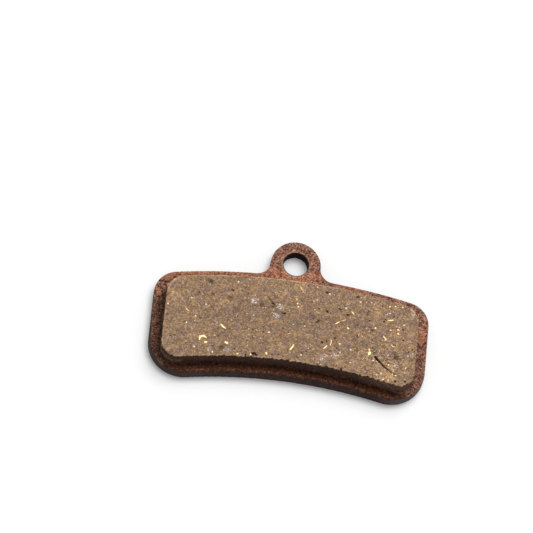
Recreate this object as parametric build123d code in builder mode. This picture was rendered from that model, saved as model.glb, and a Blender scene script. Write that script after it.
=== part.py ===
from build123d import *
import os
from math import hypot, radians, sqrt, tan

# Disc brake pad for a bicycle caliper: a blanked steel backing plate with an eye for the pad pin, and a
# friction block that is moulded onto the plate's face and keyed through two punched holes.
# Millimetres. The origin is the eye's axis on the plate's back face. +Z points from the back to the
# friction face, +Y away from the rotor's axle and +X along the pad's length.

# Backing plate: a sector of a ring about the rotor's axle, with straight parallel ends
pad_length = 44.0
plate_height = 17.8
plate_thickness = 2.0
plate_outer_corner = 3.9
plate_inner_corner = 5.5

# Pin eye: a round tab that stands out of the plate's outer arc
axle_to_eye = 99.3
eye_bore = 4.0
eye_wall = 2.0
eye_rise = 2.2
eye_root_fillet = 2.3

# Edges as the blanking die leaves them: rolled over on the friction side, the burr broken off at the back
die_roll = 0.25
edge_break = 0.12

# Friction block: the plate's sector set in by an even margin, with the mould's draft on its wall
block_thickness = 2.2
block_margin = 1.8
block_outer_corner = 3.2
block_inner_corner = 2.7
block_draft_deg = 2.0
worn_edge_round = 0.12

# Keys: two holes through the plate, which the compound fills flush with the back
key_bore = 4.6
key_pitch = 19.0

# How near to a curve a corner lies to count as on it
same_place = 1e-4

plate_outer_radius = axle_to_eye - eye_rise
plate_inner_radius = plate_outer_radius - plate_height
eye_radius = eye_bore / 2 + eye_wall
block_length = pad_length - 2 * block_margin
block_outer_radius = plate_outer_radius - block_margin
block_inner_radius = plate_inner_radius + block_margin
key_radius = (block_outer_radius + block_inner_radius) / 2
key_y = sqrt(key_radius**2 - (key_pitch / 2) ** 2) - axle_to_eye
key_places = [(-key_pitch / 2, key_y), (key_pitch / 2, key_y)]


def ring_sector(outer_radius, inner_radius, length, outer_corner, inner_corner):
    """A sector of a ring about the rotor's axle, between parallel ends and with round corners."""
    crown = outer_radius - axle_to_eye
    depth = outer_radius - inner_radius + length / 2
    with BuildSketch() as sector:
        with Locations((0, -axle_to_eye)):
            Circle(outer_radius)
            Circle(inner_radius, mode=Mode.SUBTRACT)
        with Locations((0, crown)):
            Rectangle(length, depth, align=(Align.CENTER, Align.MAX), mode=Mode.INTERSECT)
        fillet(sector.vertices().group_by(Axis.Y)[-1], outer_corner)
        fillet(sector.vertices().group_by(Axis.Y)[0], inner_corner)
    return sector.sketch


def block_sector(inset):
    """The friction block's outline, drawn in evenly by the draft's inset."""
    return ring_sector(
        block_outer_radius - inset,
        block_inner_radius + inset,
        block_length - 2 * inset,
        block_outer_corner - inset,
        block_inner_corner - inset,
    )


def is_eye_root(corner):
    """True where the eye's circle runs into the plate's outer arc."""
    on_eye = abs(hypot(corner.X, corner.Y) - eye_radius) < same_place
    on_arc = abs(hypot(corner.X, corner.Y + axle_to_eye) - plate_outer_radius) < same_place
    return on_eye and on_arc


plate_sector = ring_sector(
    plate_outer_radius, plate_inner_radius, pad_length, plate_outer_corner, plate_inner_corner
)
block_foot = block_sector(0)
block_face = block_sector(block_thickness * tan(radians(block_draft_deg)))

with BuildPart() as backing_plate:
    with BuildSketch(Plane.XY) as plate_outline:
        add(plate_sector)
        Circle(eye_radius)
        fillet(plate_outline.vertices().filter_by(is_eye_root), eye_root_fillet)
        Circle(eye_bore / 2, mode=Mode.SUBTRACT)
    extrude(amount=plate_thickness)
    fillet(backing_plate.faces().sort_by(Axis.Z)[-1].edges(), die_roll)
    chamfer(backing_plate.faces().sort_by(Axis.Z)[0].outer_wire().edges(), edge_break)
    with Locations(*key_places):
        Hole(key_bore / 2)

with BuildPart() as friction_block:
    with BuildSketch(Plane.XY.offset(plate_thickness)):
        add(block_foot)
    with BuildSketch(Plane.XY.offset(plate_thickness + block_thickness)):
        add(block_face)
    loft(ruled=True)
    fillet(friction_block.faces().sort_by(Axis.Z)[-1].edges(), worn_edge_round)
    with BuildSketch(Plane.XY):
        with Locations(*key_places):
            Circle(key_bore / 2)
    extrude(amount=plate_thickness)

os.makedirs("parts", exist_ok=True)
backing_plate.part.label = "backing_plate"
export_step(backing_plate.part, "parts/backing_plate.step")
friction_block.part.label = "friction_block"
export_step(friction_block.part, "parts/friction_block.step")
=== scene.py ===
import math
import random
import bpy
import numpy as np
from mathutils import Matrix, Vector, kdtree, noise


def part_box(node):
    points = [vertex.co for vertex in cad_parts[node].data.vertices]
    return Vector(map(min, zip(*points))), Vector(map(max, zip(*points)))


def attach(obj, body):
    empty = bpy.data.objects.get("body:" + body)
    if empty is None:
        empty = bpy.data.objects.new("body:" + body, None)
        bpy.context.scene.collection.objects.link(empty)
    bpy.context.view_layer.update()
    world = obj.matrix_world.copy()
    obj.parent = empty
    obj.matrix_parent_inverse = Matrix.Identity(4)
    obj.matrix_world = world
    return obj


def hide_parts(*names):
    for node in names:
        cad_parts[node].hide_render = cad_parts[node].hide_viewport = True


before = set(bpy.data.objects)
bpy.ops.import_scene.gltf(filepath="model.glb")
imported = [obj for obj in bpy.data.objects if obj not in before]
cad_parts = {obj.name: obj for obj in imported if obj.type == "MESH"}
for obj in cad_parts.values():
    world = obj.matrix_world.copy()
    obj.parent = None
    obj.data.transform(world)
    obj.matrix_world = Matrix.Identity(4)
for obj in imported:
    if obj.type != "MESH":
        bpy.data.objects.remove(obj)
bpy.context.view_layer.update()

MM = 0.001

# Levels and outline sizes of the pad, which is a sector of a ring about the rotor's axle
STEEL_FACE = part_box("backing_plate")[1].z
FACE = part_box("friction_block")[1].z
PLATE_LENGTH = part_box("backing_plate")[1].x * 2
PLATE_HEIGHT = 17.8 * MM
AXLE_TO_EYE = 99.3 * MM
ARC_TO_EYE = 2.2 * MM
PLATE_OUTER = AXLE_TO_EYE - ARC_TO_EYE
PLATE_INNER = PLATE_OUTER - PLATE_HEIGHT
PLATE_MIDDLE = PLATE_OUTER - PLATE_HEIGHT / 2
EYE_RADIUS = 2.0 * MM
BLOCK_MARGIN = 1.8 * MM
BLOCK_CORNER = 3.0 * MM
KEY_PITCH = 19.0 * MM

# Mesh cells of the two worn pieces, small enough for a pit or a chip
BLOCK_CELL = 0.125 * MM
PLATE_CELL = 0.14 * MM
# Corners closer than this are merged
MERGE_REACH = 0.001 * MM

# The ends of the block's keys: how wide and how high they are looked for, and how far they are spread
KEY_REACH = 3.0 * MM
KEY_END = 0.12 * MM
KEY_SPREAD = 1.09

# Wear that is modelled: the size of its lumps, and how far they rise or sink
CRUMBLE_SIZE, CRUMBLE_HEIGHT = 0.45 * MM, 0.44 * MM
GRAIN_SIZE, GRAIN_DEPTH = 0.3 * MM, 0.05 * MM
PITTING_SIZE, PITTING_DEPTH = 0.3 * MM, 0.1 * MM
SCALE_THICKNESS = 0.09 * MM
# How wide and how deep the cut has rolled the rim of the steel face
ROLL_WIDTH = 0.6 * MM
ROLL_DEPTH = 0.2 * MM
# How deep a dent of full weight is, in millimetres
FULL_DENT = 0.5

SEED = 27

# All marks are in millimetres from the eye's axis.
# Dents in the friction face, each with its two ends, its half width and its depth
GOUGE = [
    (13.6, -15.5, 14.4, -16.25, 0.14, 0.4),
    (14.4, -16.25, 15.1, -16.9, 0.13, 0.34),
    (15.1, -16.9, 15.7, -17.35, 0.12, 0.26),
    (15.7, -17.35, 16.3, -17.75, 0.1, 0.18),
    (16.3, -17.75, 17.2, -18.4, 0.09, 0.1),
]
SCRATCH = (-4.2, -7.6, -2.8, -8.7, 0.08, 0.12)
PITS = [
    (-13.5, -6.2, -13.1, -6.3, 0.24, 0.08),
    (-12.9, -8.3, -12.9, -8.3, 0.13, 0.2),
    (-9.9, -7.1, -9.6, -7.3, 0.14, 0.17),
    (-10.1, -8.6, -10.0, -8.7, 0.16, 0.1),
    (-5.2, -9.3, -4.8, -9.4, 0.2, 0.08),
    (-3.3, -8.5, -2.9, -8.7, 0.14, 0.2),
    (-1.5, -10.0, -1.2, -10.1, 0.19, 0.2),
    (3.9, -10.8, 4.2, -10.5, 0.22, 0.11),
    (8.8, -8.8, 8.8, -8.8, 0.21, 0.3),
    (5.0, -14.2, 5.1, -14.3, 0.19, 0.3),
    (6.9, -13.1, 7.0, -13.2, 0.16, 0.24),
    (10.6, -12.2, 10.7, -12.4, 0.18, 0.25),
    (5.4, -8.7, 5.5, -8.7, 0.17, 0.22),
    (7.3, -7.9, 7.6, -8.0, 0.18, 0.2),
    (5.0, -5.4, 5.4, -5.4, 0.18, 0.22),
    (10.0, -5.5, 10.2, -5.5, 0.15, 0.18),
    (11.8, -7.9, 11.9, -8.5, 0.09, 0.14),
    (16.6, -15.2, 17.0, -15.3, 0.17, 0.1),
    (17.1, -19.3, 17.1, -19.3, 0.2, 0.28),
]
NICKS = [
    (-5.7, -17.7, -5.4, -17.7, 0.2, 0.3),
    (-5.2, -17.9, -5.0, -18.0, 0.18, 0.25),
    (-6.8, -18.1, -6.7, -18.2, 0.16, 0.25),
    (8.3, -18.4, 8.5, -18.5, 0.18, 0.3),
    (12.7, -19.1, 12.8, -19.2, 0.2, 0.3),
    (15.3, -5.2, 15.8, -5.4, 0.2, 0.3),
    (17.5, -5.4, 17.7, -5.5, 0.18, 0.3),
    (18.4, -6.0, 18.5, -6.1, 0.16, 0.3),
]
# Streaks on it, each with its two ends, its half width and its strength
DARK_STREAKS = [
    (15.8, -17.4, 17.0, -18.2, 0.14, 0.6),
    (17.0, -18.2, 17.9, -19.0, 0.14, 0.35),
    (-4.3, -7.5, -3.3, -8.4, 0.14, 0.75),
]
TAN_STREAKS = [
    (-12.3, -10.1, -11.5, -9.7, 0.2, 0.6),
    (-11.5, -9.7, -10.7, -9.2, 0.22, 0.9),
    (-10.7, -9.2, -9.7, -9.4, 0.2, 0.9),
    (-10.3, -7.8, -9.5, -7.5, 0.3, 0.7),
    (-9.5, -7.5, -8.7, -6.8, 0.3, 0.6),
    (-3.6, -12.2, -3.0, -11.7, 0.18, 0.9),
    (-3.0, -11.7, -2.2, -11.4, 0.16, 0.9),
    (-4.7, -7.9, -4.3, -7.8, 0.25, 0.7),
    (-1.4, -6.0, -1.4, -6.7, 0.16, 0.8),
    (15.0, -17.6, 16.9, -18.9, 0.45, 0.7),
    (-19.0, -18.8, -18.1, -18.2, 0.3, 0.7),
    (3.6, -9.3, 4.2, -9.1, 0.2, 0.9),
    (5.3, -10.6, 5.8, -10.4, 0.15, 1.0),
    (12.6, -9.6, 13.0, -9.9, 0.15, 0.9),
    (14.8, -11.2, 14.8, -11.3, 0.2, 0.9),
    (1.8, -12.4, 2.2, -12.5, 0.16, 1.0),
    (15.2, -13.1, 15.6, -13.0, 0.2, 1.0),
    (-1.7, -15.8, -1.5, -15.8, 0.18, 0.9),
    (-17.0, -16.5, -16.9, -16.6, 0.2, 0.9),
    (-11.6, -16.5, -11.5, -16.5, 0.18, 0.8),
]
# Blots on it, each with its middle, its radius and its strength
STAINS = [
    (-13.4, -6.2, 0.7, 0.9),
    (-10.6, -17.4, 0.7, 0.8),
    (-5.0, -9.1, 0.6, 0.7),
    (-10.1, -8.6, 0.7, 0.6),
    (-9.7, -7.2, 0.5, 0.6),
    (3.2, -9.7, 0.8, 0.4),
    (4.1, -10.6, 0.6, 0.7),
    (17.0, -15.1, 0.7, 0.8),
]
PALE_SMEARS = [
    (-6.2, -8.5, 0.8, 0.7),
    (-2.0, -9.1, 0.8, 0.8),
    (-2.6, -10.7, 0.9, 0.5),
    (-12.6, -18.1, 0.5, 0.6),
    (-9.8, -17.7, 0.6, 0.6),
    (7.3, -16.2, 0.7, 0.7),
    (19.1, -7.5, 0.6, 0.5),
    (5.4, -17.0, 1.0, 0.4),
]
RUST_STAINS = [
    (-1.5, -13.6, 0.5, 0.9),
    (3.6, -4.7, 0.3, 0.9),
]
# Where a painted highlight lies along its rubbed brim: on the upper side, and at the upper right corner
BRIM_HIGHLIGHTS = [
    (-11.0, -4.8, 2.8, 1.2),
    (-3.4, -4.2, 2.6, 0.9),
    (0.8, -4.1, 2.8, 1.2),
    (4.6, -4.2, 2.6, 0.9),
]
CORNER_HIGHLIGHTS = [
    (19.0, -6.6, 1.4, 1.0),
    (19.8, -7.9, 1.2, 0.9),
]
# Broad places that the rotor has rubbed lighter, and places that it has left duller
RUBBED = [
    (-18.3, -9.0, 2.6, 0.7),
    (-15.0, -14.7, 2.6, 0.6),
    (-6.0, -5.4, 2.4, 0.4),
    (0.5, -5.6, 4.0, 0.5),
    (18.3, -11.5, 3.4, 0.7),
    (15.5, -18.0, 4.0, 1.0),
    (11.5, -16.8, 3.0, 0.5),
    (6.5, -16.6, 3.0, 0.3),
    (-18.0, -6.6, 2.0, 0.5),
    (14.2, -16.6, 1.1, 0.9),
    (15.4, -17.8, 1.2, 1.0),
    (16.6, -18.7, 1.1, 1.0),
    (18.2, -16.6, 2.2, 0.6),
    (13.0, -7.6, 3.4, 0.4),
    (17.5, -7.0, 2.5, 0.3),
    (-1.2, -16.4, 3.0, 0.35),
    (1.0, -4.8, 3.2, 0.35),
]
DULL = [
    (-3.2, -10.4, 3.2, 1.0),
    (-8.4, -11.6, 3.2, 0.9),
    (12.0, -11.2, 2.2, 0.8),
    (-12.2, -11.4, 2.4, 0.8),
    (0.6, -10.8, 2.6, 0.7),
    (4.4, -10.9, 2.6, 0.6),
    (-9.6, -14.2, 2.4, 0.7),
]
# Where its grain is more open, with more holes
OPEN_GRAIN = [
    (13.4, -15.0, 5.2, 1.0),
    (16.6, -15.4, 4.6, 0.8),
]

# Orange scale on the steel face: the middle and the half sizes of each patch
SCALE_PATCHES = [
    (-20.6, -4.4, 1.6, 1.7),
    (-16.0, -3.9, 5.0, 1.3),
    (-8.0, -2.7, 5.0, 1.3),
    (-3.4, -2.0, 1.8, 0.9),
    (2.7, -1.9, 2.0, 1.0),
    (0.0, -2.8, 3.2, 0.6),
    (-1.9, -2.0, 0.9, 0.6),
    (8.3, -3.4, 3.4, 0.9),
    (14.6, -4.5, 3.0, 0.8),
    (20.9, -9.8, 0.9, 1.8),
    (-21.4, -8.2, 0.5, 0.8),
]
# Flakes of scale that are still smooth
SMOOTH_FLAKES = [
    (-20.4, -4.7, 1.2, 1.1),
    (20.8, -10.6, 0.5, 1.0),
    (-21.4, -8.2, 0.5, 0.7),
]
# Edges where the scale has lifted, each with its two ends, its half width and its depth
SCALE_CRACKS = [
    (-21.4, -5.9, -20.2, -6.1, 0.1, 0.12),
    (20.3, -11.6, 21.4, -12.0, 0.1, 0.12),
]
# Spots of soil on the steel beside the block
SOIL_SPOTS = [
    (15.8, -4.3, 0.35, 0.9),
    (18.4, -4.9, 0.4, 0.7),
    (20.5, -6.6, 0.4, 0.6),
    (20.4, -7.4, 0.3, 0.8),
]
# Where the rust is rubbed paler: round the eye and at the upper corners
PALE_RUST = [
    (0.0, 0.0, 6.5, 1.0),
    (20.6, -6.9, 2.4, 1.0),
    (-21.0, -7.0, 1.8, 1.0),
    (-2.5, 0.2, 0.7, 1.8),
]

# Bits that stand out in the friction face, each with its middle, its length and its turn in degrees
BRASS_BITS = [
    ("curl", -13.9, -15.9, 1.85, 205),
    ("sliver", -10.75, -13.75, 1.25, -38),
    ("flake", -13.15, -16.85, 0.6, 20),
    ("flake", -9.9, -16.5, 0.75, -15),
    ("flake", -3.5, -17.45, 0.55, -55),
    ("sliver", 0.4, -15.85, 1.25, 62),
    ("sliver", 5.65, -15.0, 0.95, 52),
    ("strand", 6.5, -14.1, 1.3, 85),
    ("flake", 7.9, -14.1, 0.4, 0),
    ("flake", 12.7, -15.0, 0.85, 75),
    ("sliver", 12.6, -14.5, 0.8, 95),
    ("flake", 13.4, -16.2, 0.35, 10),
    ("strand", 11.8, -16.1, 0.8, 60),
    ("sliver", 9.5, -8.4, 0.8, -45),
    ("sliver", 7.2, -10.5, 0.9, 40),
    ("strand", 8.2, -9.9, 0.9, 35),
    ("sliver", 15.6, -8.8, 1.0, 12),
    ("flake", 13.3, -10.5, 0.45, 60),
    ("flake", 17.0, -11.0, 0.42, 0),
    ("flake", 17.8, -9.3, 0.36, 40),
    ("sliver", 14.9, -12.0, 0.9, -45),
    ("strand", 16.35, -13.3, 1.0, -18),
    ("flake", 9.0, -11.2, 0.5, -30),
    ("flake", 0.45, -7.3, 0.3, 0),
    ("flake", 0.65, -8.0, 0.32, 40),
    ("sliver", 18.6, -16.8, 0.6, 70),
    ("strand", 1.0, -5.3, 1.1, -62),
    ("strand", -16.65, -11.65, 1.0, -45),
    ("flake", -19.7, -11.1, 0.36, 0),
    ("flake", -15.2, -12.6, 0.46, 80),
    ("flake", -16.5, -13.9, 0.4, 70),
    ("flake", -9.0, -5.6, 0.36, 80),
    ("flake", -3.4, -13.7, 0.4, 20),
    ("flake", 0.8, -8.6, 0.4, 50),
    ("flake", 5.6, -5.6, 0.4, 10),
    ("flake", 15.3, -6.4, 0.38, 70),
    ("flake", 16.2, -6.2, 0.34, 20),
    ("flake", 17.35, -6.2, 0.36, 110),
    ("flake", 14.8, -18.2, 0.34, 80),
    ("flake", 15.2, -19.2, 0.36, 20),
    ("flake", 16.0, -19.35, 0.3, 140),
    ("flake", 9.8, -17.1, 0.32, 60),
    ("flake", 17.1, -18.3, 0.3, 30),
    ("flake", -8.0, -18.15, 0.42, 20),
    ("flake", -5.95, -17.95, 0.42, 80),
    ("flake", -12.0, -18.4, 0.34, 100),
    ("flake", 15.85, -16.6, 0.34, 45),
]
COPPER_FLAKES = [
    (15.75, -10.5, 0.4, 30),
    (16.95, -10.3, 0.5, -20),
    (3.6, -4.7, 0.35, 0),
]
MINERAL_GRAINS = [
    (-16.1, -9.5, 0.4, 0),
    (-13.7, -10.3, 0.4, 50),
    (-14.9, -17.9, 0.5, 10),
    (-11.9, -15.5, 0.35, 70),
    (10.6, -6.3, 0.4, 20),
    (8.4, -7.7, 0.5, 120),
    (3.0, -15.6, 0.3, 0),
    (9.7, -14.85, 0.42, 40),
    (-6.45, -8.5, 0.5, 0),
    (-6.05, -8.7, 0.42, 60),
    (-2.05, -9.2, 0.5, 20),
    (-2.3, -10.6, 0.4, 80),
    (-6.1, -11.1, 0.3, 0),
    (0.25, -11.8, 0.28, 30),
    (3.7, -6.95, 0.34, 10),
    (8.05, -15.55, 0.4, 70),
    (12.35, -6.15, 0.34, 0),
    (12.8, -6.35, 0.28, 45),
    (15.4, -7.6, 0.4, 15),
    (15.0, -7.8, 0.3, 90),
    (14.1, -18.6, 0.36, 40),
    (15.05, -12.35, 0.42, 30),
    (2.1, -11.8, 0.36, 70),
    (1.95, -16.9, 0.42, 75),
    (15.65, -14.95, 0.36, 20),
    (16.9, -16.5, 0.3, 0),
    (19.5, -14.1, 0.34, 130),
    (18.8, -14.6, 0.34, 50),
    (18.5, -17.6, 0.3, 90),
]
# Fine bits at random: what they are, their form, how many, how far from the brim, and their lengths
SCATTERED = [
    ("brass", "flake", 28, 0.6, 0.1, 0.22),
    ("brass", "strand", 18, 0.8, 0.3, 0.8),
    ("copper", "flake", 10, 0.6, 0.14, 0.26),
    ("mineral", "grain", 50, 0.5, 0.12, 0.26),
]
# The box that they are drawn in
DRAWN_X, DRAWN_Y = (-20, 20), (-21, -3)
# Grains in a pale smear: how many to a millimetre of radius, their spread in radii, and their lengths
SMEAR_GRAINS, SMEAR_SPREAD, SMEAR_LENGTHS = 6, 0.35, (0.14, 0.34)
# How far the middle of a bit lies under the face's level
BEDDED = 0.012 * MM


# Handling pieces

def take(piece):
    """Makes a piece the only one that is selected, and the active one."""
    bpy.ops.object.select_all(action="DESELECT")
    piece.select_set(True)
    bpy.context.view_layer.objects.active = piece


def take_all(piece):
    """Opens a piece for editing with all of it selected."""
    take(piece)
    bpy.ops.object.mode_set(mode="EDIT")
    bpy.ops.mesh.select_all(action="SELECT")


def take_vertices(piece, chosen):
    """Opens a piece for editing with only these vertices selected."""
    take(piece)
    bpy.ops.object.mode_set(mode="EDIT")
    bpy.ops.mesh.select_mode(type="VERT")
    bpy.ops.mesh.select_all(action="DESELECT")
    bpy.ops.object.mode_set(mode="OBJECT")
    piece.data.vertices.foreach_set("select", chosen)
    bpy.ops.object.mode_set(mode="EDIT")


def set_up(made, settings):
    """Gives something new its named settings."""
    for setting, value in settings.items():
        setattr(made, setting, value)


def merged_copy(node, name):
    """A new piece with a CAD node's shape, its loose triangles merged into one skin."""
    piece = bpy.data.objects.new(name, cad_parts[node].data.copy())
    bpy.context.scene.collection.objects.link(piece)
    piece.data.materials.clear()
    take_all(piece)
    bpy.ops.mesh.remove_doubles(threshold=MERGE_REACH)
    bpy.ops.object.mode_set(mode="OBJECT")
    return piece


def finish_with(piece, kind, **settings):
    """Adds a modifier with these settings and applies it."""
    modifier = piece.modifiers.new(kind.lower(), kind)
    set_up(modifier, settings)
    take(piece)
    bpy.ops.object.modifier_apply(modifier=modifier.name)


def skin(piece):
    """The vertices of a piece and their normals, as two arrays of rows."""
    count = len(piece.data.vertices)
    places, normals = np.empty(count * 3), np.empty(count * 3)
    piece.data.vertices.foreach_get("co", places)
    piece.data.vertices.foreach_get("normal", normals)
    return places.reshape(-1, 3), normals.reshape(-1, 3)


def group(piece, name, weights):
    """A vertex group with one weight for each vertex."""
    made = piece.vertex_groups.new(name=name)
    for index in np.flatnonzero(weights > 0.001):
        made.add([int(index)], float(weights[index]), "REPLACE")
    return name


def attribute(piece, name, weights):
    """A value for each vertex, which the piece's material reads by name."""
    made = piece.data.attributes.new(name, "FLOAT", "POINT")
    made.data.foreach_set("value", np.asarray(weights, np.float32))


def sink(piece, name, weights, depth, direction):
    """Sinks each vertex by its weight, to that depth where the weight is 1."""
    finish_with(piece, "DISPLACE", direction=direction, mid_level=0.0, strength=-depth,
                vertex_group=group(piece, name, weights))


def roughen(piece, name, weights, texture, height, level):
    """Raises and sinks each vertex by a texture and its weight. A texture at that level moves nothing."""
    finish_with(piece, "DISPLACE", texture=texture, texture_coords="LOCAL", mid_level=level,
                strength=height, vertex_group=group(piece, name, weights))


def cloud_texture(size, **settings):
    """A displacement texture with lumps of that size."""
    made = bpy.data.textures.new("clouds", "CLOUDS")
    made.noise_scale = size
    set_up(made, settings)
    return made


# Finding places on a piece

def ramp_up(value, low, high):
    """0 below low, 1 above high and smooth between them."""
    share = np.clip((value - low) / (high - low), 0, 1)
    return share * share * (3 - 2 * share)


def cloud(places, size):
    """Fractal noise of about -1 to 1 at each place, with lumps of that size."""
    fineness, spacing, octaves = 1.0, 2.0, 3
    return np.array([noise.fractal(Vector(place) / size, fineness, spacing, octaves) for place in places])


def from_axle(places):
    """How far each place lies from the rotor's axle, seen from above."""
    return np.hypot(places[:, 0], places[:, 1] + AXLE_TO_EYE)


def from_block_foot(places):
    """How far each place lies outside the block's outline, seen from above, and below 0 inside it."""
    outer, inner = PLATE_OUTER - BLOCK_MARGIN, PLATE_INNER + BLOCK_MARGIN
    half_length = PLATE_LENGTH / 2 - BLOCK_MARGIN
    across = np.abs(places[:, 0]) - (half_length - BLOCK_CORNER)
    along = np.abs(from_axle(places) - (outer + inner) / 2) - ((outer - inner) / 2 - BLOCK_CORNER)
    beyond = np.hypot(np.maximum(across, 0), np.maximum(along, 0))
    return beyond + np.minimum(np.maximum(across, along), 0) - BLOCK_CORNER


def from_cut_edge(places, edge_places):
    """How far each place lies from the nearest place on the cut edge, seen from above."""
    tree = kdtree.KDTree(len(edge_places))
    for index, (x, y, _) in enumerate(edge_places):
        tree.insert((x, y, 0), index)
    tree.balance()
    return np.array([tree.find((x, y, 0))[2] for x, y, _ in places])


def wander(places, reach, size):
    """The places, each moved a little on the plan, which makes the outline of a mark uneven."""
    elsewhere = 50 * MM
    aside = np.zeros_like(places)
    aside[:, 0] = cloud(places, size)
    aside[:, 1] = cloud(places + elsewhere, size)
    return places + aside * reach


def blots(places, marks):
    """How strongly round marks cover each place, fading towards their rims."""
    cover = np.zeros(len(places))
    for x, y, radius, strength in marks:
        away = np.hypot(places[:, 0] / MM - x, places[:, 1] / MM - y)
        cover = np.maximum(cover, strength * ramp_up(radius - away, 0, 0.8 * radius))
    return cover


def strokes(places, marks):
    """How deep dents sink each place, in millimetres, or how strongly streaks cover it."""
    laid = np.zeros(len(places))
    for x0, y0, x1, y1, half_width, most in marks:
        run_x, run_y = x1 - x0, y1 - y0
        from_x, from_y = places[:, 0] / MM - x0, places[:, 1] / MM - y0
        along = np.clip((from_x * run_x + from_y * run_y) / max(run_x**2 + run_y**2, 1e-9), 0, 1)
        away = np.hypot(from_x - along * run_x, from_y - along * run_y)
        laid = np.maximum(laid, most * ramp_up(half_width - away, -0.3 * half_width, 0.7 * half_width))
    return laid


def patches(places, ovals):
    """Above 0 inside the ovals and below it outside, in shares of an oval's size."""
    inside = np.full(len(places), -9.0)
    for x, y, half_x, half_y in ovals:
        away = np.hypot((places[:, 0] / MM - x) / half_x, (places[:, 1] / MM - y) / half_y)
        inside = np.maximum(inside, 1 - away)
    return inside


# Building materials

def feed(tree, made, inputs):
    """Gives a node's inputs their values or links."""
    for socket, value in inputs.items():
        if isinstance(value, bpy.types.NodeSocket):
            tree.links.new(value, made.inputs[socket])
        else:
            made.inputs[socket].default_value = value


def put(tree, kind, inputs=None, **settings):
    """Adds a node, with each input a value or a link."""
    made = tree.nodes.new("ShaderNode" + kind)
    set_up(made, settings)
    feed(tree, made, inputs or {})
    return made


def maths(tree, operation, first, second=0.0, third=0.0):
    """The result of a Math node."""
    return put(tree, "Math", {0: first, 1: second, 2: third}, operation=operation).outputs[0]


def times(tree, first, second):
    """One value times another."""
    return maths(tree, "MULTIPLY", first, second)


def times_add(tree, value, factor, more):
    """A value times a factor, plus something more."""
    return maths(tree, "MULTIPLY_ADD", value, factor, more)


def vectors(tree, operation, inputs):
    """The result of a Vector Math node."""
    return put(tree, "VectorMath", inputs, operation=operation).outputs[0]


def between(tree, value, low, high):
    """A smooth mask, 0 where value is low and 1 where it is high."""
    inputs = {"Value": value, "From Min": low, "From Max": high}
    return put(tree, "MapRange", inputs, interpolation_type="SMOOTHSTEP").outputs[0]


def span(tree, value, low, high):
    """The share of the way from low to high, from 0 to 1."""
    return put(tree, "MapRange", {"Value": value, "From Min": low, "From Max": high}).outputs[0]


def mixed(tree, share, first, second, blend="MIX"):
    """One colour laid over another by a share from 0 to 1."""
    inputs = {0: share, 6: first, 7: second}
    return put(tree, "Mix", inputs, data_type="RGBA", blend_type=blend).outputs[2]


def tinted(tree, share, colour, tint):
    """A colour multiplied by a tint, by a share from 0 to 1."""
    return mixed(tree, share, colour, (*tint, 1.0), "MULTIPLY")


def shades(tree, value, dark, middle, light):
    """A colour from dark through middle to light as the value goes from 0 to 1."""
    lower = mixed(tree, span(tree, value, 0.0, 0.5), dark, middle)
    return mixed(tree, span(tree, value, 0.5, 1.0), lower, light)


def named(tree, name):
    """The value that a piece's vertices carry under that name."""
    return put(tree, "Attribute", attribute_name=name).outputs["Fac"]


def lumps(tree, where, size, detail=3.0, rough=0.7):
    """Noise of 0 to 1 with lumps of that size."""
    inputs = {"Vector": where, "Scale": 1 / size, "Detail": detail, "Roughness": rough}
    return put(tree, "TexNoise", inputs).outputs[0]


def rgb(red, green, blue):
    """A colour in the eight-bit values that a picture shows, as the shader's linear ones."""
    parts = [value / 255 for value in (red, green, blue)]
    return (*[p / 12.92 if p <= 0.04045 else ((p + 0.055) / 1.055) ** 2.4 for p in parts], 1.0)


def new_group(name, inputs, outputs):
    """An empty shader node group with a place and these values going in, and these values coming out."""
    tree = bpy.data.node_groups.new(name, "ShaderNodeTree")
    tree.interface.new_socket("Where", in_out="INPUT", socket_type="NodeSocketVector")
    for in_out, sockets in (("INPUT", inputs), ("OUTPUT", outputs)):
        for socket in sockets:
            tree.interface.new_socket(socket, in_out=in_out, socket_type="NodeSocketFloat")
    entry = tree.nodes.new("NodeGroupInput")
    leave = tree.nodes.new("NodeGroupOutput")
    return tree, entry.outputs, leave.inputs


def use(tree, group_tree, **inputs):
    """Places a node group in a material, its inputs named with _ for a space."""
    made = tree.nodes.new("ShaderNodeGroup")
    made.node_tree = group_tree
    feed(tree, made, {socket.replace("_", " "): value for socket, value in inputs.items()})
    return made.outputs


def specks_group():
    """Scattered round specks: only some cells of a pattern hold one, and each has its own size."""
    tree, entry, leave = new_group("specks", ["Per Metre", "Share", "Reach"], ["Mask"])
    cells = put(tree, "TexVoronoi", {"Vector": entry["Where"], "Scale": entry["Per Metre"]})
    tones = put(tree, "SeparateColor", {0: cells.outputs["Color"]}).outputs
    chosen = maths(tree, "LESS_THAN", tones[0], entry["Share"])
    radius = times(tree, entry["Reach"], maths(tree, "ADD", 0.4, tones[1]))
    inside = maths(tree, "SUBTRACT", 1.0, maths(tree, "DIVIDE", cells.outputs["Distance"], radius))
    soft = between(tree, inside, 0.0, 0.35)
    tree.links.new(times(tree, soft, chosen), leave["Mask"])
    return tree


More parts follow.
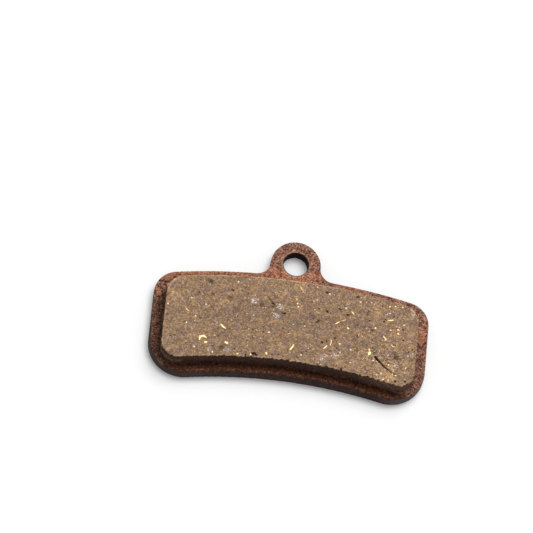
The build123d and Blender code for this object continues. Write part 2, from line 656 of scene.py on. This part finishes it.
def grit_group():
    """Packed grains: soft lumps of many sizes, with a tone and a dome for each of the finest grains."""
    tree, entry, leave = new_group("grit", ["Per Metre", "Grain", "Contrast"], ["Shade", "Height"])
    where, per_metre = entry["Where"], entry["Per Metre"]
    many_sizes = {"Vector": where, "Scale": per_metre, "Detail": 5.0, "Roughness": 0.7}
    lump = span(tree, put(tree, "TexNoise", many_sizes).outputs[0], 0.25, 0.75)
    finest = times(tree, per_metre, 4.0)
    # The grains' outlines wander, so that they don't look like cells of a pattern.
    uneven = {"Vector": where, "Scale": times(tree, finest, 1.6), "Detail": 2.0}
    drift = put(tree, "TexNoise", uneven).outputs["Color"]
    drift = vectors(tree, "SUBTRACT", {0: drift, 1: (0.5, 0.5, 0.5)})
    drift = vectors(tree, "SCALE", {0: drift, "Scale": maths(tree, "DIVIDE", 1.3, finest)})
    ragged = vectors(tree, "ADD", {0: where, 1: drift})
    soft_cells = {"Vector": ragged, "Scale": finest, "Smoothness": 0.35}
    cells = put(tree, "TexVoronoi", soft_cells, feature="SMOOTH_F1").outputs
    tone = put(tree, "SeparateColor", {0: cells["Color"]}).outputs[0]
    apart = maths(tree, "SUBTRACT", tone, lump)
    even = maths(tree, "ADD", lump, times(tree, apart, entry["Grain"]))
    from_middle = maths(tree, "SUBTRACT", even, 0.5)
    shade = maths(tree, "ADD", 0.5, times(tree, from_middle, entry["Contrast"]))
    dome = maths(tree, "SUBTRACT", shade, times(tree, cells["Distance"], 0.4))
    tree.links.new(shade, leave["Shade"])
    tree.links.new(dome, leave["Height"])
    return tree


SPECKS = specks_group()
GRIT = grit_group()

# The dark, the middle and the light shade of each ground
FACE_SHADES = rgb(81, 62, 45), rgb(152, 122, 97), rgb(216, 184, 152)
WALL_SHADES = rgb(36, 24, 20), rgb(62, 43, 35), rgb(104, 77, 61)
BARE_SHADES = rgb(52, 43, 33), rgb(104, 88, 68), rgb(160, 138, 108)
RUST_SHADES = rgb(71, 43, 36), rgb(140, 98, 80), rgb(196, 149, 126)
SCALE_SHADES = rgb(116, 64, 49), rgb(171, 116, 90), rgb(220, 164, 132)
SOIL_AND_SHADE_TONES = rgb(31, 18, 11), rgb(66, 42, 27), rgb(110, 73, 48)
RIM_HIGHLIGHT_SHADES = rgb(46, 29, 22), rgb(82, 55, 41), rgb(150, 106, 74)
CUT_SHADES = rgb(38, 26, 25), rgb(53, 39, 37), rgb(82, 63, 58)
# The dull and the bright side of the bits in the face
BRASS_SHADES = rgb(172, 134, 86), rgb(240, 209, 156)
COPPER_SHADES = rgb(184, 126, 92), rgb(228, 176, 136)
MINERAL_SHADES = rgb(168, 152, 140), rgb(250, 237, 224)


def new_material(name):
    """A material with its node tree, its shader and the object's own coordinates."""
    material = bpy.data.materials.new(name)
    material.use_nodes = True
    tree = material.node_tree
    shader = tree.nodes["Principled BSDF"]
    where = put(tree, "TexCoord").outputs["Object"]
    return material, tree, shader, where


def emboss(tree, shader, relief, depth):
    """Gives a shader fine relief of that depth."""
    bump = put(tree, "Bump", {"Strength": 1.0, "Distance": depth, "Height": relief})
    tree.links.new(bump.outputs[0], shader.inputs["Normal"])


def compound_material():
    """Worn friction compound: tan and grey grains with fine specks, a painted highlight along the brim, and
    dark walls.
    """
    material, tree, shader, where = new_material("friction_compound_worn")
    along, _, height = put(tree, "SeparateXYZ", {0: where}).outputs
    worn = between(tree, height, FACE - 0.17 * MM, FACE - 0.08 * MM)
    fine = between(tree, lumps(tree, where, 0.3 * MM), 0.38, 0.6)
    # The ground, with its broad tints
    open_grain = named(tree, "open")
    contrast = times_add(tree, open_grain, 0.4, 0.88)
    grit = use(tree, GRIT, Where=where, Per_Metre=1600.0, Grain=0.6, Contrast=contrast)
    colour = shades(tree, grit["Shade"], *FACE_SHADES)
    warmth = span(tree, lumps(tree, where, 1.4 * MM, 5.0), 0.35, 0.65)
    cool, warm = (0.83, 0.855, 1.08, 1.0), (1.17, 1.13, 0.88, 1.0)
    colour = mixed(tree, 1.0, colour, mixed(tree, warmth, cool, warm), "MULTIPLY")
    colour = tinted(tree, named(tree, "rubbed"), colour, (1.26, 1.24, 1.2))
    colour = tinted(tree, named(tree, "dull"), colour, (0.86, 0.88, 0.92))
    # Slanting streaks, pits, holes and pale specks
    stretched = {"Vector": where, "Rotation": (0, 0, -0.6), "Scale": (0.16, 1, 1)}
    turned = put(tree, "Mapping", stretched).outputs[0]
    streaks = between(tree, lumps(tree, turned, 0.4 * MM), 0.56, 0.7)
    colour = mixed(tree, times(tree, streaks, 0.2), colour, rgb(178, 140, 96))
    pits = use(tree, SPECKS, Where=where, Per_Metre=1500.0, Share=0.16, Reach=0.17)["Mask"]
    colour = mixed(tree, times(tree, pits, 0.75), colour, rgb(56, 46, 40))
    hole_share = times_add(tree, open_grain, 0.35, 0.6)
    holes = use(tree, SPECKS, Where=where, Per_Metre=1100.0, Share=hole_share, Reach=0.18)["Mask"]
    darker_right = times_add(tree, between(tree, along, -4 * MM, 8 * MM), 0.3, 0.6)
    holes = times(tree, holes, darker_right)
    colour = mixed(tree, holes, colour, rgb(44, 36, 31))
    pale = use(tree, SPECKS, Where=where, Per_Metre=1250.0, Share=0.15, Reach=0.14)["Mask"]
    colour = mixed(tree, times(tree, pale, 0.7), colour, rgb(212, 206, 206))
    # The placed stains, smears and streaks
    colour = mixed(tree, times(tree, named(tree, "stain"), 0.95), colour, rgb(72, 58, 42))
    smeared = times(tree, named(tree, "pale"), times_add(tree, fine, 0.8, 0.2))
    colour = mixed(tree, smeared, colour, rgb(196, 186, 180))
    colour = mixed(tree, times(tree, named(tree, "rusty"), 0.7), colour, rgb(198, 118, 66))
    streaked = times(tree, named(tree, "tan"), times_add(tree, fine, 0.4, 0.3))
    colour = mixed(tree, streaked, colour, rgb(222, 178, 126))
    # Fine metal in the face, and the painted highlight along the brim
    metal = use(tree, SPECKS, Where=where, Per_Metre=1050.0, Share=0.14, Reach=0.10)["Mask"]
    metal = times(tree, metal, worn)
    colour = mixed(tree, metal, colour, rgb(222, 184, 122))
    brim_highlight = times(tree, named(tree, "brim_highlight"), maths(tree, "ADD", fine, 0.3))
    colour = mixed(tree, times(tree, brim_highlight, 0.85), colour, rgb(220, 186, 142))
    # The walls, which the rotor doesn't reach
    wall = shades(tree, grit["Shade"], *WALL_SHADES)
    wall = mixed(tree, times(tree, pale, 0.6), wall, rgb(130, 106, 80))
    bare = shades(tree, grit["Shade"], *BARE_SHADES)
    wall = mixed(tree, times(tree, named(tree, "bare"), fine), wall, bare)
    wall = tinted(tree, named(tree, "chalky"), wall, (1.85, 1.88, 2.05))
    colour = mixed(tree, worn, wall, colour)
    tree.links.new(colour, shader.inputs["Base Color"])
    tree.links.new(times(tree, metal, 0.8), shader.inputs["Metallic"])
    tree.links.new(times_add(tree, metal, -0.45, 0.85), shader.inputs["Roughness"])
    shader.inputs["Specular IOR Level"].default_value = 0.15
    relief = maths(tree, "SUBTRACT", grit["Height"], maths(tree, "MAXIMUM", pits, holes))
    emboss(tree, shader, relief, 0.08 * MM)
    return material


def rust_material():
    """Rusted steel: brown pitted rust, patches of orange scale, soil and painted shade by the block,
    painted highlights and glints, and a dark cut edge.
    """
    material, tree, shader, where = new_material("rusted_steel")
    grit = use(tree, GRIT, Where=where, Per_Metre=1400.0, Grain=0.65, Contrast=1.7)
    calm = named(tree, "calm")
    from_middle = maths(tree, "SUBTRACT", grit["Shade"], 0.5)
    tone = times_add(tree, from_middle, times_add(tree, calm, -0.6, 1.0), 0.5)
    # Brown rust, orange scale and ruddy spots
    scale = named(tree, "orange")
    spotty = lumps(tree, where, 0.6 * MM, 5.0, 0.75)
    spotty = maths(tree, "ADD", spotty, times(tree, scale, 0.4))
    colour = shades(tree, tone, *RUST_SHADES)
    orange = shades(tree, tone, *SCALE_SHADES)
    colour = mixed(tree, between(tree, spotty, 0.58, 0.78), colour, orange)
    ruddy = between(tree, lumps(tree, where, 0.4 * MM, 4.0, 0.75), 0.54, 0.66)
    ruddy = times(tree, ruddy, times_add(tree, scale, 0.6, 0.2))
    colour = mixed(tree, ruddy, colour, rgb(208, 98, 58))
    # Pits, rust that is rubbed paler, painted glints on its grains, and a painted highlight round the
    # bore's rim
    pits = use(tree, SPECKS, Where=where, Per_Metre=2000.0, Share=0.3, Reach=0.22)["Mask"]
    pitted = times(tree, pits, times_add(tree, calm, -0.5, 0.7))
    colour = mixed(tree, pitted, colour, rgb(46, 27, 23))
    pale = named(tree, "pale")
    colour = tinted(tree, pale, colour, (1.2, 1.2, 1.16))
    glint_share = times_add(tree, pale, 0.12, 0.17)
    bright = use(tree, SPECKS, Where=where, Per_Metre=1900.0, Share=glint_share, Reach=0.17)["Mask"]
    colour = mixed(tree, times(tree, bright, 0.8), colour, rgb(218, 180, 168))
    colour = mixed(tree, times(tree, named(tree, "bore_rim_highlight"), 0.7), colour, rgb(186, 142, 120))
    # Soil and painted shade by the block, painted shade at the block's foot, the painted highlight along
    # the rim, and the margin on the near side
    soil_and_shade_colour = shades(tree, tone, *SOIL_AND_SHADE_TONES)
    colour = mixed(tree, named(tree, "soil_and_shade"), colour, soil_and_shade_colour)
    # A painted highlight along the near rim, over the rust's own colour
    rim_highlight = shades(tree, tone, *RIM_HIGHLIGHT_SHADES)
    colour = mixed(tree, named(tree, "rim_highlight"), colour, rim_highlight)
    colour = tinted(tree, named(tree, "low"), colour, (1.3, 1.1, 1.06))
    colour = tinted(tree, named(tree, "foot_shade"), colour, (0.55, 0.45, 0.42))
    # The cut edge, with a painted highlight towards its ends, and painted shade in the bore
    charcoal = shades(tree, tone, *CUT_SHADES)
    charcoal = mixed(tree, times(tree, named(tree, "cut_end_highlight"), 0.6), charcoal, rgb(104, 92, 88))
    colour = mixed(tree, named(tree, "cut"), colour, charcoal)
    colour = mixed(tree, named(tree, "bore_shade"), colour, rgb(32, 17, 12))
    tree.links.new(colour, shader.inputs["Base Color"])
    shader.inputs["Roughness"].default_value = 0.7
    shader.inputs["Specular IOR Level"].default_value = 0.12
    emboss(tree, shader, maths(tree, "SUBTRACT", grit["Height"], pits), 0.14 * MM)
    return material


def metal_material(name, dull, bright):
    """Torn metal of the shavings, from dull to bright."""
    material, tree, shader, where = new_material(name)
    tone = lumps(tree, where, 0.25 * MM, 2.0, 0.55)
    tree.links.new(mixed(tree, tone, dull, bright), shader.inputs["Base Color"])
    shader.inputs["Metallic"].default_value = 1.0
    tree.links.new(between(tree, tone, -0.6, 1.6), shader.inputs["Roughness"])
    return material


def mineral_material(dull, bright):
    """Pale hard mineral of the grains."""
    material, tree, shader, where = new_material("pale_mineral")
    tone = lumps(tree, where, 0.3 * MM, 2.0, 0.55)
    tree.links.new(mixed(tree, tone, dull, bright), shader.inputs["Base Color"])
    shader.inputs["Roughness"].default_value = 0.5
    return material


# The two worn pieces

def grind_flush(piece):
    """Presses what stands above the friction face's level down to it."""
    take_vertices(piece, skin(piece)[0][:, 2] > FACE)
    bpy.ops.transform.resize(value=(1, 1, 0), center_override=(0, 0, FACE))
    bpy.ops.object.mode_set(mode="OBJECT")


def press_keys(block):
    """Presses the ends of the two keys flat at the back, so that each fills its hole to the rim."""
    key_y = math.sqrt(PLATE_MIDDLE**2 - (KEY_PITCH / 2) ** 2) - AXLE_TO_EYE
    for key_x in (-KEY_PITCH / 2, KEY_PITCH / 2):
        places = skin(block)[0]
        by_key = np.hypot(places[:, 0] - key_x, places[:, 1] - key_y) < KEY_REACH
        take_vertices(block, by_key & (places[:, 2] < KEY_END))
        key_back = (key_x, key_y, places[:, 2].min())
        bpy.ops.transform.resize(value=(KEY_SPREAD, KEY_SPREAD, 0), center_override=key_back)
        bpy.ops.object.mode_set(mode="OBJECT")


def worn_friction_block():
    """The friction block with its gouge, pits and nicks, a crumbled brim and a grainy face."""
    block = merged_copy("friction_block", "worn_friction_block")
    finish_with(block, "REMESH", mode="VOXEL", voxel_size=BLOCK_CELL)
    press_keys(block)
    places, normals = skin(block)
    x, z = places[:, 0], places[:, 2]
    edge = from_block_foot(places)
    radius = from_axle(places)
    strayed = wander(places, 0.12 * MM, 0.5 * MM)
    near_face = ramp_up(z, FACE - 0.5 * MM, FACE - 0.1 * MM)
    upward = ramp_up(normals[:, 2], 0.6, 0.95) * near_face
    flank = 1 - ramp_up(np.abs(normals[:, 2]), 0.3, 0.7)
    # The brim's rubbed edge, with a painted highlight where it catches the light: on the upper side, at the
    # left end and a little on the lower side
    high_side = ramp_up(radius - PLATE_MIDDLE, 3 * MM, 6 * MM) * (1 - 0.8 * ramp_up(x, 6 * MM, 8 * MM))
    low_side = ramp_up(PLATE_MIDDLE - radius, 2 * MM, 6 * MM)
    left_end = 0.8 * ramp_up(-x, 18 * MM, 19.5 * MM)
    lit_side = np.maximum.reduce([high_side, left_end, 0.6 * low_side, blots(places, CORNER_HIGHLIGHTS)])
    broken = 0.15 + 0.85 * ramp_up(cloud(places, 1.1 * MM), -0.25, 0.3)
    broken = np.maximum(broken, blots(places, BRIM_HIGHLIGHTS))
    attribute(block, "brim_highlight", ramp_up(edge, -0.32 * MM, -0.16 * MM) * near_face * lit_side * broken)
    # The placed marks of the face
    attribute(block, "stain", np.maximum(blots(strayed, STAINS), strokes(places, DARK_STREAKS)) * upward)
    attribute(block, "tan", strokes(strayed, TAN_STREAKS) * upward)
    attribute(block, "pale", blots(strayed, PALE_SMEARS) * upward)
    attribute(block, "rusty", blots(strayed, RUST_STAINS) * upward)
    attribute(block, "rubbed", blots(places, RUBBED))
    attribute(block, "dull", blots(places, DULL))
    attribute(block, "open", blots(places, OPEN_GRAIN))
    # The walls: chalky towards the right end, and bare at the foot of the lower left corner
    uneven_level = STEEL_FACE + 1.1 * MM + 0.4 * MM * cloud(places, 0.8 * MM)
    bare_corner = ramp_up(-x, 16.4 * MM, 16.8 * MM) * ramp_up(uneven_level - z, 0.0, 0.4 * MM)
    attribute(block, "chalky", ramp_up(x, 10 * MM, 15 * MM) * flank)
    attribute(block, "bare", bare_corner * flank)
    # The wear in the shape itself
    sunk = np.maximum(strokes(places, GOUGE + [SCRATCH]), strokes(strayed, PITS)) * upward
    nicked = strokes(strayed, NICKS) * near_face
    ragged = 0.25 + low_side * (0.35 + 0.4 * ramp_up(x, -6 * MM, 6 * MM))
    crumbled = near_face * ramp_up(edge, -0.5 * MM, -0.16 * MM) * ragged
    sink(block, "dents", sunk / FULL_DENT, FULL_DENT * MM, direction="Z")
    sink(block, "nicks", nicked / FULL_DENT, FULL_DENT * MM, direction="NORMAL")
    crumbs = cloud_texture(CRUMBLE_SIZE, noise_depth=3, contrast=2.0)
    roughen(block, "crumbled", crumbled, crumbs, CRUMBLE_HEIGHT, level=0.45)
    grain = cloud_texture(GRAIN_SIZE, noise_depth=2)
    roughen(block, "grainy", np.maximum(upward, flank), grain, GRAIN_DEPTH, level=1.0)
    grind_flush(block)
    block.data.materials.append(compound_material())
    bpy.ops.object.shade_smooth()
    return block


def roll_rim(plate):
    """Rolls the rim of the steel face over, and returns how far each vertex lies from the cut."""
    places, normals = skin(plate)
    off_eye = np.hypot(places[:, 0], places[:, 1]) > EYE_RADIUS + 0.6 * MM
    outside = (from_block_foot(places) > 0.5 * MM) & off_eye
    half_way_up = np.abs(places[:, 2] - STEEL_FACE / 2) < 0.3 * MM
    walls = places[outside & half_way_up & (np.abs(normals[:, 2]) < 0.3)]
    inward = from_cut_edge(places, walls)
    far_side = ramp_up(from_axle(places) - PLATE_OUTER, -4 * MM, -1.5 * MM)
    rolled = (1 - np.clip(inward / ROLL_WIDTH, 0, 1)) ** 2 * ramp_up(places[:, 2], 0.8 * MM, STEEL_FACE)
    sink(plate, "rolled", rolled * (1 - 0.7 * far_side), ROLL_DEPTH, direction="Z")
    finish_with(plate, "SMOOTH", factor=0.5, iterations=8,
                vertex_group=group(plate, "rounded", 1 - ramp_up(inward, 0.6 * MM, 0.9 * MM)))
    return inward


def rusted_backing_plate():
    """The backing plate with a rolled rim, pitted rust and raised scale."""
    plate = merged_copy("backing_plate", "rusted_backing_plate")
    finish_with(plate, "REMESH", mode="VOXEL", voxel_size=PLATE_CELL)
    inward = roll_rim(plate)
    places, normals = skin(plate)
    x, y = places[:, 0], places[:, 1]
    edge = from_block_foot(places)
    radius = from_axle(places)
    from_bore = np.hypot(x, y) - EYE_RADIUS
    strayed = wander(places, 0.35 * MM, 0.9 * MM)
    face = ramp_up(normals[:, 2], 0.5, 0.9)
    low_margin = ramp_up(PLATE_INNER + BLOCK_MARGIN + 0.2 * MM - radius, 0.0, 0.4 * MM)
    left_end = ramp_up(-x, 20 * MM, 20.4 * MM)
    right_end = ramp_up(x, 17 * MM, 19 * MM) * ramp_up(-y, 15 * MM, 19.5 * MM)
    front = np.maximum(low_margin, left_end * ramp_up(-y, 12 * MM, 14 * MM))
    # Scale, smooth flakes of it, rust that is rubbed paler, and a painted highlight round the bore's rim,
    # stronger on the left
    in_patch = patches(strayed, SCALE_PATCHES)
    orange = ramp_up(in_patch, 0.0, 0.08)
    calm = ramp_up(patches(strayed, SMOOTH_FLAKES), 0.0, 0.15)
    left_weight = 0.2 + 0.8 * ramp_up(-x, -0.5 * MM, 1.5 * MM)
    attribute(plate, "orange", orange)
    attribute(plate, "calm", np.maximum(calm, 0.45 * low_margin))
    attribute(plate, "pale", blots(strayed, PALE_RUST) * face)
    attribute(plate, "bore_rim_highlight", (1 - ramp_up(from_bore, 0.2 * MM, 0.5 * MM)) * left_weight * face)
    # Soil and painted shade in one mask: the near margin darker, soil with painted shade beside the block,
    # soil on the left end, a painted shadow line round the flakes, and soil in cracks and in spots
    block_shade_share = np.where(x < 0, 0.9 * ramp_up(-y, 5.5 * MM, 8 * MM), 0.0)
    block_shade_share = np.maximum(block_shade_share, 0.4 * ramp_up(-y, 13 * MM, 16 * MM))
    soil_and_shade_by_block = block_shade_share * ramp_up(-edge, -0.9 * MM, -0.2 * MM)
    soil_and_shade_by_block = soil_and_shade_by_block * ramp_up(PLATE_OUTER - radius, 1.9 * MM, 2.4 * MM)
    grimy_left = left_end * (0.22 + 0.55 * ramp_up(-y, 6.5 * MM, 9.5 * MM)) * (1 - calm)
    grimy_left = grimy_left * (1 - 0.45 * ramp_up(-x, 21.05 * MM, 21.4 * MM))
    shadow_by_flake = 0.8 * ramp_up(in_patch, -0.16, -0.06) * (1 - ramp_up(in_patch, -0.02, 0.02))
    shadow_by_flake = shadow_by_flake * ramp_up(np.abs(x), 17 * MM, 19 * MM)
    cracked = strokes(wander(places, 0.15 * MM, 0.5 * MM), SCALE_CRACKS) * face
    spots = blots(strayed, SOIL_SPOTS)
    grimy = np.maximum(grimy_left, 0.3 * right_end)
    soil_and_shade = np.maximum.reduce([low_margin, soil_and_shade_by_block, grimy, shadow_by_flake, 8 * cracked, spots])
    attribute(plate, "soil_and_shade", np.minimum(soil_and_shade, 1) * face)
    # The near margin, with painted shade at the block's foot, and a painted highlight along its rim
    on_rim = ramp_up(inward, 0.3 * MM, 0.45 * MM) * (1 - ramp_up(inward, 0.55 * MM, 0.85 * MM))
    attribute(plate, "low", low_margin * face)
    attribute(plate, "foot_shade", low_margin * (1 - ramp_up(edge, 0.1 * MM, 1.1 * MM)) * face)
    attribute(plate, "rim_highlight", 0.7 * front * on_rim * face)
    # The cut edge, with a painted lighter rim on the sides that face the light and a painted highlight
    # towards its ends, the blotched back, and painted shade in the bore
    facing_light = 0.35 * ramp_up(normals[:, 1] + 0.4 * normals[:, 0], 0.1, 0.4)
    steep, level = 0.2 + 0.55 * front - 0.5 * facing_light, 0.6 + 0.35 * front - facing_light
    wall = 1 - ramp_up(normals[:, 2], steep, level)
    blotched = 0.3 + 0.7 * ramp_up(cloud(places, 3 * MM), -0.25, 0.25)
    cut_end_highlight = ramp_up(x, 14 * MM, 19 * MM) + 0.3 * ramp_up(-x, 10 * MM, 15 * MM)
    attribute(plate, "cut", wall * np.where(normals[:, 2] < -0.7, blotched, 1.0))
    attribute(plate, "cut_end_highlight", cut_end_highlight * (1 - face))
    attribute(plate, "bore_shade", (1 - ramp_up(from_bore, 0.1 * MM, 0.2 * MM)) * (1 - face))
    # The rust in the shape itself
    open_face = face * ramp_up(edge, 0.0, 0.25 * MM)
    sink(plate, "below_scale", open_face * (1 - orange), SCALE_THICKNESS, direction="Z")
    sink(plate, "cracked", cracked / FULL_DENT, FULL_DENT * MM, direction="Z")
    pitting = cloud_texture(PITTING_SIZE, noise_depth=3, contrast=1.5)
    roughen(plate, "pitted", open_face, pitting, PITTING_DEPTH, level=1.0)
    plate.data.materials.append(rust_material())
    bpy.ops.object.shade_smooth()
    return plate


# Shavings and grains in the friction face. Each form is modelled once, one millimetre long, and copied.

def tear(piece, reach):
    """Moves every vertex of a piece a little at random."""
    take_all(piece)
    bpy.ops.transform.vertex_random(offset=reach * MM, uniform=0.0, normal=0.0, seed=SEED)
    bpy.ops.object.mode_set(mode="OBJECT")


def press(piece, width, thickness):
    """Presses a piece to that width and thickness, in shares of its length."""
    piece.scale = (1.0, width, thickness)
    bpy.ops.object.transform_apply(location=False, rotation=False, scale=True)


def spindle(name, width, thickness, bend):
    """A torn shaving along X, thick in its middle, pointed at its ends and bent on the plan."""
    bpy.ops.object.select_all(action="DESELECT")
    along_x = (0, math.pi / 2, 0)
    bpy.ops.mesh.primitive_uv_sphere_add(segments=6, ring_count=10, radius=0.5 * MM, rotation=along_x)
    piece = bpy.context.object
    piece.name = name
    bpy.ops.object.transform_apply(location=False, rotation=True, scale=False)
    tear(piece, reach=0.05)
    press(piece, width, thickness)
    finish_with(piece, "SIMPLE_DEFORM", deform_method="BEND", deform_axis="Z", angle=math.radians(bend))
    return piece


def chip(name, width, thickness):
    """A flat angular chip."""
    bpy.ops.object.select_all(action="DESELECT")
    bpy.ops.mesh.primitive_ico_sphere_add(subdivisions=1, radius=0.5 * MM)
    piece = bpy.context.object
    piece.name = name
    tear(piece, reach=0.16)
    press(piece, width, thickness)
    return piece


def lay(form, x, y, length, turn):
    """A copy of a form in the friction face, its middle just under the face's level."""
    piece = form.copy()
    piece.data = form.data.copy()
    bpy.context.scene.collection.objects.link(piece)
    piece.scale = (length, length, length)
    piece.rotation_euler = (0, 0, math.radians(turn))
    piece.location = (x * MM, y * MM, FACE - BEDDED)
    return piece


def join_flush(pieces, name, material):
    """Joins pieces into one and grinds them flush with the friction face."""
    bpy.ops.object.select_all(action="DESELECT")
    for piece in pieces:
        piece.select_set(True)
    bpy.context.view_layer.objects.active = pieces[0]
    bpy.ops.object.join()
    joined = bpy.context.object
    joined.name = name
    bpy.ops.object.transform_apply(location=True, rotation=True, scale=True)
    grind_flush(joined)
    take_all(joined)
    bpy.ops.mesh.normals_make_consistent(inside=False)
    bpy.ops.object.mode_set(mode="OBJECT")
    joined.data.materials.clear()
    joined.data.materials.append(material)
    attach(joined, "root")


def anywhere(chance, margin):
    """A place on the friction face at random, at least that far from its brim."""
    while True:
        x, y = chance.uniform(*DRAWN_X), chance.uniform(*DRAWN_Y)
        if from_block_foot(np.array([[x, y, 0.0]]) * MM)[0] < -margin * MM:
            return x, y


def shavings_and_grains():
    """The brass, the copper and the mineral in the friction face."""
    chance = random.Random(SEED)
    forms = {
        "sliver": spindle("sliver", width=0.2, thickness=0.12, bend=20),
        "strand": spindle("strand", width=0.1, thickness=0.08, bend=50),
        "curl": spindle("curl", width=0.19, thickness=0.1, bend=190),
        "flake": chip("flake", width=0.6, thickness=0.3),
        "grain": chip("grain", width=0.9, thickness=0.6),
    }
    heaps = {
        "brass": [lay(forms[form], *laid) for form, *laid in BRASS_BITS],
        "copper": [lay(forms["flake"], *laid) for laid in COPPER_FLAKES],
        "mineral": [lay(forms["grain"], *laid) for laid in MINERAL_GRAINS],
    }
    for x, y, radius, _ in PALE_SMEARS:
        spread = SMEAR_SPREAD * radius
        for _ in range(round(SMEAR_GRAINS * radius)):
            spot = chance.gauss(x, spread), chance.gauss(y, spread)
            length, turn = chance.uniform(*SMEAR_LENGTHS), chance.uniform(0, 360)
            heaps["mineral"].append(lay(forms["grain"], *spot, length, turn))
    for heap, form, count, margin, shortest, longest in SCATTERED:
        for _ in range(count):
            spot = anywhere(chance, margin)
            length, turn = chance.uniform(shortest, longest), chance.uniform(0, 360)
            heaps[heap].append(lay(forms[form], *spot, length, turn))
    join_flush(heaps["brass"], "brass_shavings", metal_material("brass", *BRASS_SHADES))
    join_flush(heaps["copper"], "copper_shavings", metal_material("copper", *COPPER_SHADES))
    join_flush(heaps["mineral"], "mineral_grains", mineral_material(*MINERAL_SHADES))
    for form in forms.values():
        bpy.data.objects.remove(form)


# Stage: a white floor that keeps the shadow, a soft key light from behind on the right, and the camera

def white_floor(size, white, lift):
    """A wide white floor, lifted to full white where the camera looks at it in full light."""
    bpy.ops.object.select_all(action="DESELECT")
    bpy.ops.mesh.primitive_plane_add(size=size, location=(0, 0, 0))
    floor = bpy.context.object
    floor.name = "floor"
    material, tree, shader, _ = new_material("white_floor")
    tree.nodes.remove(shader)
    diffuse = put(tree, "BsdfDiffuse", {"Color": (white, white, white, 1)})
    seen = put(tree, "LightPath").outputs["Is Camera Ray"]
    glow = put(tree, "Emission", {"Strength": times(tree, seen, lift)})
    both = put(tree, "AddShader", {0: diffuse.outputs[0], 1: glow.outputs[0]})
    tree.links.new(both.outputs[0], tree.nodes["Material Output"].inputs["Surface"])
    floor.data.materials.append(material)


def white_world(ambient):
    """White all round: at full strength to the camera and in reflections, and dimmer as light."""
    world = bpy.data.worlds.new("studio")
    bpy.context.scene.world = world
    world.use_nodes = True
    tree = world.node_tree
    path = put(tree, "LightPath").outputs
    mirrored = maths(tree, "MAXIMUM", path["Is Glossy Ray"], path["Is Transmission Ray"])
    seen = maths(tree, "MAXIMUM", path["Is Camera Ray"], mirrored)
    light = put(tree, "Background", {"Color": (1, 1, 1, 1), "Strength": ambient})
    shown = put(tree, "Background", {"Color": (1, 1, 1, 1), "Strength": 1.0})
    both = put(tree, "MixShader", {0: seen, 1: light.outputs[0], 2: shown.outputs[0]})
    tree.links.new(both.outputs[0], tree.nodes["World Output"].inputs["Surface"])


def direction(azimuth, elevation):
    """The direction from the pad to a place at these angles, in degrees."""
    a, e = math.radians(azimuth), math.radians(elevation)
    return Vector((math.sin(a) * math.cos(e), -math.cos(a) * math.cos(e), math.sin(e)))


def area_light(name, azimuth, elevation, distance, size, level):
    """A square soft light that gives a face turned towards it that level of light."""
    back = direction(azimuth, elevation)
    data = bpy.data.lights.new(name, "AREA")
    data.size = size
    data.energy = level * math.pi**2 * distance**2
    lamp = bpy.data.objects.new(name, data)
    bpy.context.scene.collection.objects.link(lamp)
    lamp.location = back * distance
    lamp.rotation_euler = back.to_track_quat("Z", "Y").to_euler()


def photo_camera(azimuth, elevation, roll, target, distance, focal_pixels, image_pixels):
    """The camera where the photograph was taken from, a long lens that looks down on the pad."""
    back = direction(azimuth, elevation)
    data = bpy.data.cameras.new("camera")
    data.sensor_width = 36
    data.lens = data.sensor_width * focal_pixels / image_pixels
    camera = bpy.data.objects.new("camera", data)
    bpy.context.scene.collection.objects.link(camera)
    upright = back.to_track_quat("Z", "Y").to_matrix().to_4x4()
    turn = upright @ Matrix.Rotation(math.radians(roll), 4, "Z")
    camera.matrix_world = Matrix.Translation(target + back * distance) @ turn
    bpy.context.scene.camera = camera


# The pad and its stage

block = worn_friction_block()
plate = rusted_backing_plate()
stands_for = [(block, "friction_block", "friction_compound"), (plate, "backing_plate", "rusty_steel")]
for piece, node, slot in stands_for:
    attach(piece, "root")
    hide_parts(node)
shavings_and_grains()

white_floor(size=3.0, white=0.95, lift=0.08)
white_world(ambient=0.4)
area_light("key_light", azimuth=150, elevation=62, distance=2.0, size=1.6, level=0.84)
photo_camera(azimuth=-8.51, elevation=62.69, roll=15.27, target=Vector((-4.68, -1.15, 2.0)) * MM,
             distance=715.45 * MM, focal_pixels=4500, image_pixels=533)
bpy.context.scene.view_settings.view_transform = "Standard"
